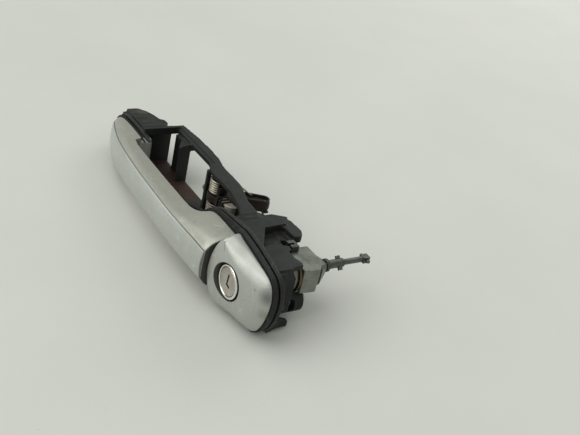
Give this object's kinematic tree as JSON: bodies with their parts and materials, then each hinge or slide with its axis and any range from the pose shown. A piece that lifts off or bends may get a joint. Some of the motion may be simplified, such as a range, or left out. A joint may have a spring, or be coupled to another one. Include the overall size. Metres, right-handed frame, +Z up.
{
  "type": "car door outside handle with key lock",
  "caption": "Pull grip and key lock cover on a moulded frame, with bell crank, return spring and lock tail shaft, for the outside of a car door.",
  "frame": {"origin": "centre line of the handle on the raised seat of the frame's rear flange, which rests on the inside of the door skin, just ahead of the lock hole", "axes": "+X along the handle towards its lock end (rearward on a left door), +Y into the door, +Z up"},
  "size_m": [0.2467, 0.1197, 0.0547],
  "materials": {
    "paint_silver": "silver lacquer on plastic, lightly scratched",
    "paint_silver_warm": "warm silver lacquer on plastic, lightly scratched",
    "nylon_black": "moulded glass-filled nylon, fine grain, dusty",
    "nylon_brown": "moulded nylon, brown-black",
    "pad_rubber": "soft moulded rubber, matt",
    "steel_zinc": "zinc-plated steel, dull",
    "zinc_cast": "die-cast zinc, grey-green, slightly oxidised",
    "zinc_pale": "pale die-cast zinc",
    "spring_steel": "bright spring wire, faint yellow passivation",
    "bright_chrome": "polished bezel",
    "satin_cap": "satin stainless cap, warm",
    "brass_ring": "copper-coloured spring ring, dull"
  },
  "bodies": {
    "carrier": {"frame": "nylon_black", "front_pad": "pad_rubber", "rear_pad": "pad_rubber", "rear_cover": "paint_silver", "stop_button": "pad_rubber", "pivot_pin": "steel_zinc", "crank_spring": "spring_steel", "face_ring": "bright_chrome", "lock_sleeve": "zinc_cast", "plug_spring": "spring_steel", "snap_ring": "brass_ring", "lock_housing": "zinc_cast", "front_screw": "steel_zinc", "clamp_screw": "steel_zinc", "captive_nut": "steel_zinc"},
    "grip": {"grip_outer_shell": "paint_silver", "grip_inner_shell": "paint_silver_warm", "front_hook": "nylon_black", "rear_leg": "nylon_black", "leg_screw": "steel_zinc"},
    "crank": {"bell_crank": "nylon_brown", "counterweight": "zinc_pale", "lever_link": "steel_zinc", "rod_clip": "nylon_black"},
    "plug": {"lock_plug": "zinc_cast", "face_cap": "satin_cap", "tail_collar": "zinc_pale", "tail_shaft": "steel_zinc", "cross_pin": "steel_zinc", "tail_rod": "steel_zinc"},
    "shutter": {"slot_shutter": "steel_zinc"}
  },
  "joints": [
    {"name": "grip_pull", "type": "hinge", "parent": "carrier", "child": "grip", "pos_m": [-0.1885, 0.009, 0], "axis": [0, 0, -1], "range_deg": [0, 7.5]},
    {"name": "crank_turn", "type": "hinge", "parent": "carrier", "child": "crank", "pos_m": [-0.0805, 0.029, 0], "axis": [0, 0, -1], "range_deg": [0, 23.2], "stiffness_Nm_per_rad": 0.35, "springref_deg": -68.75},
    {"name": "key_turn", "type": "hinge", "parent": "carrier", "child": "plug", "pos_m": [0.018, 0, 0], "axis": [0, 1, 0], "range_deg": [-75, 75], "stiffness_Nm_per_rad": 0.06},
    {"name": "shutter_fold", "type": "hinge", "parent": "plug", "child": "shutter", "pos_m": [0.0157, -0.0118, 0], "axis": [0, 0, 1], "range_deg": [0, 75], "stiffness_Nm_per_rad": 0.0002, "springref_deg": -34.38}
  ],
  "couplings": [
    {"joint": "crank_turn", "follows": "grip_pull", "ratio": 3.08}
  ]
}
